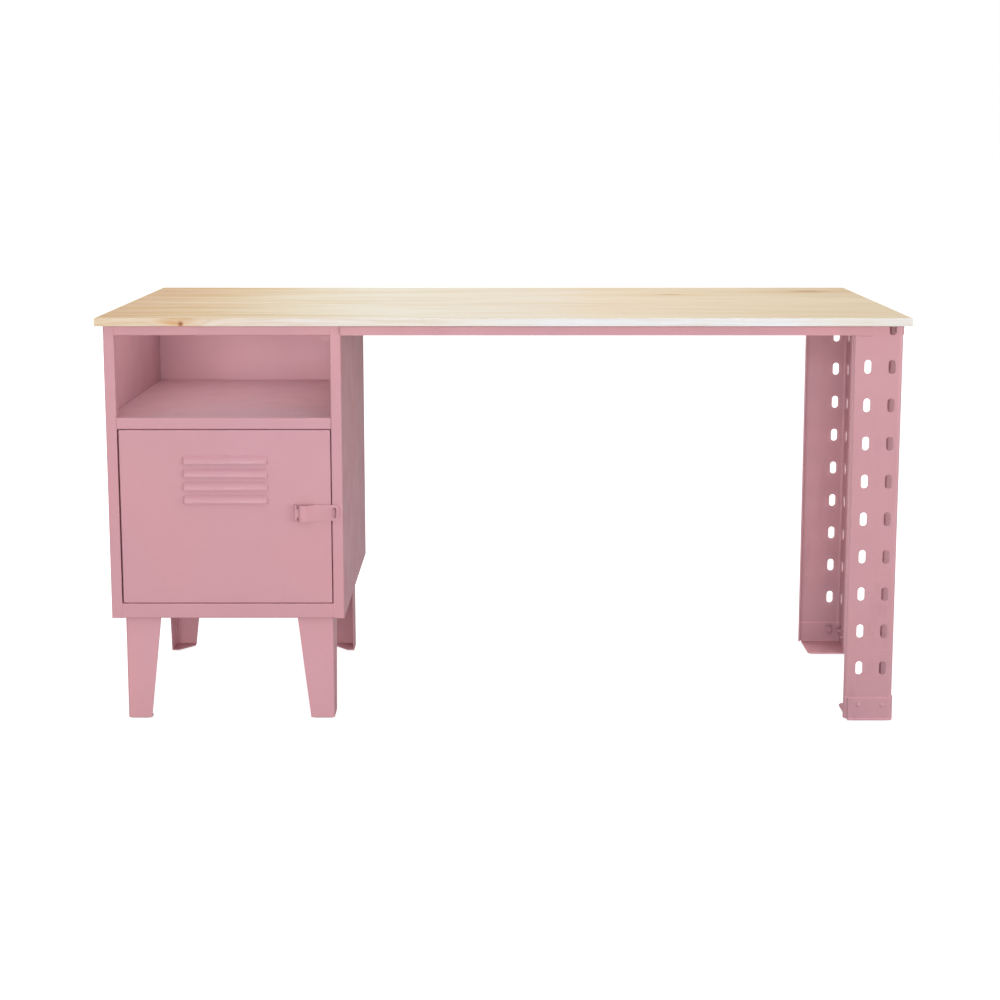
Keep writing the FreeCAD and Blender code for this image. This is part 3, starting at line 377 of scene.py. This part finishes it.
# the wood's tone on the top and on the front edge, from the board's left end, 0, to its right end, 1;
# towards the right the front edge's tones turn grey-white, a painted highlight
TOP_TONES = (
    (0.00, (0.645, 0.470, 0.310)),
    (0.10, (0.705, 0.555, 0.375)),
    (0.24, (0.765, 0.700, 0.560)),
    (0.34, (0.790, 0.750, 0.655)),
    (0.58, (0.765, 0.690, 0.575)),
    (0.62, (0.765, 0.660, 0.510)),
    (0.78, (0.725, 0.620, 0.465)),
    (0.90, (0.700, 0.600, 0.440)),
    (1.00, (0.690, 0.580, 0.420)),
)
# painted highlight: the front edge's tones go from wood colour at the left end to grey-white towards the
# right
EDGE_TONES_WITH_HIGHLIGHT = (
    (0.00, (0.635, 0.520, 0.380)),
    (0.12, (0.645, 0.555, 0.465)),
    (0.26, (0.655, 0.610, 0.585)),
    (0.44, (0.665, 0.645, 0.605)),
    (0.55, (0.645, 0.650, 0.665)),
    (0.84, (0.630, 0.640, 0.660)),
    (0.92, (0.615, 0.600, 0.575)),
    (1.00, (0.605, 0.590, 0.570)),
)


def pine():
    """Lacquered pine: growth rings about a pith under the board, fibres along X, three knots."""
    g = Graph("pine")
    x, y, z = g.split(g.place)
    across = g.span(x, -HALF_WIDE, HALF_WIDE, smooth=False)
    swirl, knot, heart, halo = knots(g)
    late_wood = growth_rings(g, y, z, swirl, across)

    sway = g.noise(1.0, detail=2.0, place=g.stretch((2.0, 9.0, 9.0)))
    tone = g.math("ADD", across, g.math("MULTIPLY", g.math("SUBTRACT", sway, 0.5), 0.16))
    # the front edge gets its own tones, with their painted highlight
    colour = g.mix(front_edge(g, y), g.ramp(tone, TOP_TONES), g.ramp(across, EDGE_TONES_WITH_HIGHLIGHT))
    colour = g.tint(late_wood, colour, LATE_WOOD)

    broad = g.noise(1.0, detail=4.0, roughness=0.6, place=g.stretch((2.6, 30.0, 30.0)))
    broad_share = g.math("MULTIPLY", g.span(broad, 0.44, 0.66), g.span(across, 0.0, 0.5, 0.85, 0.45))
    colour = g.tint(broad_share, colour, BROAD_STREAK)
    streak = g.noise(1.0, detail=4.0, roughness=0.62, place=g.stretch((5.0, 170.0, 170.0)))
    colour = g.tint(g.span(streak, 0.46, 0.74, 0.0, 0.45), colour, FINE_STREAK)
    fibre = g.noise(1.0, detail=3.0, roughness=0.7, place=g.stretch((30.0, 1400.0, 1400.0)))
    colour = g.tint(g.span(fibre, 0.42, 0.72, 0.0, 0.30), colour, FIBRE)

    dark_band = g.math("MULTIPLY", g.band(y, BOARD_FRONT + 0.045, 0.020), g.span(across, 0.42, 0.12))
    dark_band = g.math("MULTIPLY", dark_band, g.span(streak, 0.3, 0.6, 0.45, 1.0))
    colour = g.tint(dark_band, colour, DARK_BAND)
    back_corner = g.math("MULTIPLY", g.span(across, 0.82, 0.93), g.span(y, 0.02, 0.20))
    colour = g.tint(back_corner, colour, BACK_CORNER)
    colour = g.tint(g.math("MULTIPLY", knot_tail(g, x, y, z), 0.85), colour, KNOT_TAIL)
    colour = g.tint(g.math("MULTIPLY", halo, 0.75), colour, KNOT_HALO)
    colour = g.mix(g.math("MULTIPLY", knot, 0.80), colour, KNOT)
    colour = g.mix(g.math("MULTIPLY", heart, 0.85), colour, KNOT_HEART)

    pores = g.math("MULTIPLY", g.span(fibre, 0.5, 0.8), 0.5)
    normal = g.bump(g.math("MULTIPLY", late_wood, 0.5), 0.00012, 0.5)
    normal = g.bump(pores, 0.00010, 0.5, normal)
    rough = g.span(streak, 0.3, 0.7, 0.54, 0.66)
    return g.set(Base_Color=colour, Roughness=rough, Normal=normal, Specular_IOR_Level=0.30)


def knots(g):
    """How far the rings bend round the knots, then the shares of knot, heart and halo."""
    swirl, knot, heart, halo = 0.0, 0.0, 0.0, 0.0
    for centre, (half_long, half_wide), dark, bend in KNOTS:
        away = g.vector("SUBTRACT", g.place, centre)
        near = g.vector("LENGTH", g.stretch((1 / half_long, 1 / half_wide, 1 / half_wide), away))
        near = g.math("ADD", near, g.math("MULTIPLY", g.math("SUBTRACT", g.noise(160.0), 0.5), 0.5))
        bent_wide = BENT_WIDE / half_wide
        pull = g.vector("LENGTH", g.stretch((BENT_LONG / half_long, bent_wide, bent_wide), away))
        swirl = g.math("ADD", swirl, g.span(pull, 0.0, 1.6, bend, 0.0))
        halo = g.math("MAXIMUM", halo, g.span(pull, 0.15, 1.1, dark, 0.0))
        rings = g.span(g.math("SINE", g.math("MULTIPLY", near, KNOT_RINGS)), -1.0, 1.0, 0.60, 1.0)
        here = g.math("MULTIPLY", g.span(near, 0.55, 1.35, dark, 0.0), rings)
        knot = g.math("MAXIMUM", knot, here)
        heart = g.math("MAXIMUM", heart, g.span(near, 0.15, 0.80, dark * dark, 0.0))
    return swirl, knot, heart, halo


def knot_tail(g, x, y, z):
    """The dark grain that runs left from the front edge's knot."""
    knot_x, _, knot_z = KNOTS[0][0]
    along = g.math("SUBTRACT", knot_x, x)
    rise = g.math("SUBTRACT", g.math("SUBTRACT", z, knot_z), g.math("MULTIPLY", along, 0.10))
    tail = g.math("MULTIPLY", g.band(rise, 0.0, 0.0055), g.span(along, 0.0, 0.008))
    tail = g.math("MULTIPLY", tail, g.span(along, 0.070, 0.012))
    return g.math("MULTIPLY", tail, g.span(y, BOARD_FRONT + 0.030, BOARD_FRONT + 0.004))


def growth_rings(g, y, z, swirl, across):
    """The share of late wood: the dark line of each year, stronger at the board's left end."""
    warp = g.noise(1.0, detail=2.0, place=g.stretch((0.8, 5.0, 5.0)))
    wander = g.math("MULTIPLY", g.math("SUBTRACT", warp, 0.5), 0.070)
    dy = g.math("ADD", g.math("SUBTRACT", y, PITH[0]), wander)
    dz = g.math("ADD", g.math("SUBTRACT", z, PITH[1]), swirl)
    radius = g.math("SQRT", g.math("ADD", g.math("MULTIPLY", dy, dy), g.math("MULTIPLY", dz, dz)))
    wobble = g.noise(1.0, detail=4.0, place=g.stretch((2.2, 22.0, 22.0)))
    radius = g.math("ADD", radius, g.math("MULTIPLY", wobble, 0.012))
    years = g.math("FRACT", g.math("MULTIPLY", radius, RINGS_PER_METRE))
    late_wood = g.math("MULTIPLY", g.span(years, 0.30, 0.90), g.span(years, 0.92, 1.0, 1.0, 0.0))
    patchy = g.noise(1.0, detail=1.0, place=g.stretch((1.1, 7.0, 7.0)))
    left_end = g.span(across, 0.05, 0.45, 1.0, 0.0)
    strength = g.math("ADD", g.span(patchy, 0.35, 0.7, 0.10, 0.42), g.math("MULTIPLY", left_end, 0.22))
    return g.math("MULTIPLY", late_wood, strength)


def front_edge(g, y):
    """1 on the board's front edge, which takes the edge tones with their painted highlight, and 0 on its
    top.
    """
    return g.span(y, BOARD_FRONT + 0.0014, BOARD_FRONT + 0.0004)


# ---- materials on the part ---------------------------------------------------------------------


def dress():
    """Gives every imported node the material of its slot."""
    made = {
        "pine": pine(),
        "pink_powder_coat": powder_coat(),
        "zinc_plated_steel": zinc_plate(),
        "grey_nylon": moulded("grey_nylon", DARK_NYLON, 0.55),
        "clear_rubber": moulded("clear_rubber", RUBBER, 0.38, 0.2),
        "ferrite_magnet": moulded("ferrite_magnet", FERRITE, 0.62),
    }
    for part in frame["record"]["subparts"]:
        thing = nodes[part["node"]]
        thing.data.materials.clear()
        thing.data.materials.append(made[part["material_slot"]])
    return made


# ---- seams and weld beads ----------------------------------------------------------------------


def weld_bead(name, start, end, radius, ripple, material):
    """A bead from start to end, sunk halfway into the corner it fills; ripple 0 is a filed one."""
    start, end = Vector(start), Vector(end)
    along = (end - start).normalized()
    side = along.orthogonal().normalized()
    up = along.cross(side)
    length = (end - start).length
    rings = max(FEWEST_RINGS, int(length / (radius * RING_STEP)))
    shape = bmesh.new()
    loops = []
    for i in range(rings + 1):
        share = i / rings
        here = start + along * length * share
        from_end = min(share, 1.0 - share) * length
        taper = min(1.0, BLUNT_END + from_end / radius) ** 0.5
        wave = abs(math.sin(math.pi * length * share / (radius * RIPPLE_PITCH)))
        pulse = 1.0 + RIPPLE_HIGH * ripple * wave
        drift = 1.0 + DRIFT_HIGH * ripple * noise.noise(here * DRIFT_SCALE)
        size = taper * pulse * drift * radius
        loop = []
        for j in range(BEAD_SIDES):
            angle = 2 * math.pi * j / BEAD_SIDES
            outward = side * math.cos(angle) + up * math.sin(angle)
            loop.append(shape.verts.new(here + outward * size))
        loops.append(loop)
    for one, other in zip(loops, loops[1:]):
        for j in range(BEAD_SIDES):
            k = (j + 1) % BEAD_SIDES
            shape.faces.new((one[j], one[k], other[k], other[j]))
    shape.faces.new(reversed(loops[0]))
    shape.faces.new(loops[-1])
    bmesh.ops.recalc_face_normals(shape, faces=shape.faces)
    for face in shape.faces:
        face.smooth = True
    mesh = bpy.data.meshes.new(name)
    shape.to_mesh(mesh)
    shape.free()
    bead = bpy.data.objects.new(name, mesh)
    bpy.context.scene.collection.objects.link(bead)
    bead.data.materials.append(material)
    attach(bead, "desk")


def locker_seams():
    """(name, start, end, radius, ripple) of the filed seams beside the locker's top and bottom rails."""
    post_left, post_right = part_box("locker_side_left"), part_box("locker_side_right")
    y = post_left[0][1] + SEAM_RADIUS - SEAM_PROUD
    for rail in ("locker_top", "locker_floor"):
        low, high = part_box(rail)
        for side, x in (("left", post_left[1][0]), ("right", post_right[0][0])):
            ends = (x, y, low[2] + SEAM_END), (x, y, high[2] - SEAM_END)
            yield f"seam_{rail}_{side}", *ends, SEAM_RADIUS, 0.0


def rail_beads():
    """The same for the long rails: welded to the locker, filed where they lap the angle legs."""
    (_, front, _), (_, back, _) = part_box("locker_side_left")
    locker_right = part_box("locker_side_right")[1][0]
    for side, face in (("front", front), ("back", back)):
        rail = f"{side}_rail"
        low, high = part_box(rail)
        top = high[2] - WELD_END
        lap_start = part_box(f"slotted_leg_{side}")[0][0] + LEG_CORNER
        lap_end = high[0]
        ends = (locker_right, face, low[2] + WELD_END), (locker_right, face, top)
        yield f"weld_{rail}_to_locker", *ends, WELD_RADIUS, 1.0
        ends = (lap_end, face, low[2]), (lap_end, face, top)
        yield f"seam_{rail}_lap_end", *ends, LAP_RADIUS, 0.0
        ends = (lap_start, face, low[2]), (lap_end, face, low[2])
        yield f"seam_{rail}_lap_foot", *ends, LAP_RADIUS, 0.0


def shoe_beads():
    """The same for the shoes: a weld at the sole and a rolled lip of coat along the top edge."""
    for side in ("front", "back"):
        shoe = f"foot_shoe_{side}"
        low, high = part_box(shoe)
        y = low[1] + SHOE_BEAD_SUNK if side == "front" else high[1] - SHOE_BEAD_SUNK
        z = low[2] + SOLE_JOINT
        ends = (low[0] + SOLE_WELD_ENDS[0], y, z), (high[0] - SOLE_WELD_ENDS[1], y, z)
        yield f"weld_{shoe}_sole", *ends, SHOE_BEAD_RADIUS, 0.5
        z = high[2] - LIP_SUNK
        ends = (low[0] + LIP_ENDS[0], y, z), (high[0] - LIP_ENDS[1], y, z)
        yield f"lip_{shoe}", *ends, SHOE_BEAD_RADIUS, 0.0


def weld(coat):
    for bead in (*locker_seams(), *rail_beads(), *shoe_beads()):
        weld_bead(*bead, coat)


# ---- stage -------------------------------------------------------------------------------------


def floor():
    """A pale floor that glows only where the camera sees it, so the shadows on it stay light."""
    mesh = bpy.data.meshes.new("floor")
    shape = bmesh.new()
    bmesh.ops.create_circle(shape, cap_ends=True, segments=96, radius=FLOOR_RADIUS)
    shape.to_mesh(mesh)
    shape.free()
    thing = bpy.data.objects.new("floor", mesh)
    bpy.context.scene.collection.objects.link(thing)
    g = Graph("floor_white")
    seen = g.add("ShaderNodeLightPath").outputs["Is Camera Ray"]
    mottle = g.noise(2.0, detail=2.0)
    pale = g.mix(mottle, FLOOR_PALE, FLOOR_PALER)
    g.set(Base_Color=pale, Roughness=0.9, Emission_Color=WHITE)
    g.set(Emission_Strength=g.math("MULTIPLY", seen, FLOOR_GLOW), Specular_IOR_Level=0.1)
    thing.data.materials.append(g.material)


def world():
    """Soft overhead light that falls off towards the horizon; white where the camera sees it."""
    made = bpy.data.worlds.new("studio")
    made.use_nodes = True
    tree = made.node_tree
    tree.nodes.clear()
    output = tree.nodes.new("ShaderNodeOutputWorld")
    light = tree.nodes.new("ShaderNodeBackground")
    seen = tree.nodes.new("ShaderNodeBackground")
    mix = tree.nodes.new("ShaderNodeMixShader")
    place = tree.nodes.new("ShaderNodeTexCoord")
    height = tree.nodes.new("ShaderNodeSeparateXYZ")
    grade = tree.nodes.new("ShaderNodeMapRange")
    path = tree.nodes.new("ShaderNodeLightPath")
    grade.inputs["To Min"].default_value = SKY_LOW
    grade.inputs["To Max"].default_value = SKY_HIGH
    for node in (light, seen):
        node.inputs["Color"].default_value = (*WHITE, 1.0)
    tree.links.new(place.outputs["Generated"], height.inputs[0])
    tree.links.new(height.outputs["Z"], grade.inputs["Value"])
    tree.links.new(grade.outputs["Result"], light.inputs["Strength"])
    tree.links.new(path.outputs["Is Camera Ray"], mix.inputs[0])
    tree.links.new(light.outputs[0], mix.inputs[1])
    tree.links.new(seen.outputs[0], mix.inputs[2])
    tree.links.new(mix.outputs[0], output.inputs["Surface"])
    bpy.context.scene.world = made


def softbox(name, watts, place, target, wide, high, colour=WHITE):
    """A rectangular light at place, turned to target, that the camera can't see."""
    data = bpy.data.lights.new(name, "AREA")
    data.shape = "RECTANGLE"
    data.energy = watts
    data.color = colour
    data.size = wide
    data.size_y = high
    thing = bpy.data.objects.new(name, data)
    thing.location = place
    thing.rotation_euler = (Vector(target) - Vector(place)).to_track_quat("-Z", "Y").to_euler()
    thing.visible_camera = False
    bpy.context.scene.collection.objects.link(thing)


def niche_light():
    """A soft light that fills the underside of the locker's top and opens up the niche."""
    low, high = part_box("locker_top")
    x = low[0] * NICHE_LIGHT_LEFT + high[0] * (1.0 - NICHE_LIGHT_LEFT)
    place = Vector((x, low[1] + NICHE_LIGHT_BACK, high[2] - NICHE_LIGHT_DROP))
    below = place - Vector((0.0, 0.0, 1.0))
    size = NICHE_LIGHT_WIDE, NICHE_LIGHT_DEEP
    softbox("niche_light", NICHE_LIGHT_WATTS, place, below, *size, NICHE_LIGHT)


def knee_light():
    """A tall soft light between the locker and the legs, turned to the back leg's inner face."""
    low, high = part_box("slotted_leg_back")
    place = (low[0] - KNEE_LIGHT_INWARD, KNEE_LIGHT_Y, KNEE_LIGHT_Z)
    target = (low[0] + KNEE_TARGET_IN, high[1], KNEE_LIGHT_Z)
    softbox("knee_light", KNEE_LIGHT_WATTS, place, target, KNEE_LIGHT_WIDE, KNEE_LIGHT_HIGH)


def lights():
    world()
    for box in SOFTBOXES:
        softbox(*box)
    niche_light()
    knee_light()


def camera():
    data = bpy.data.cameras.new("camera")
    data.sensor_width = CAMERA_SENSOR
    data.lens = CAMERA_LENS
    data.shift_x, data.shift_y = CAMERA_SHIFT
    thing = bpy.data.objects.new("camera", data)
    thing.location = CAMERA_PLACE
    thing.rotation_euler = (math.radians(90 - CAMERA_PITCH), 0, 0)
    bpy.context.scene.collection.objects.link(thing)
    bpy.context.scene.camera = thing


materials = dress()
weld(materials["pink_powder_coat"])
floor()
lights()
camera()
bpy.context.scene.view_settings.view_transform = "Standard"
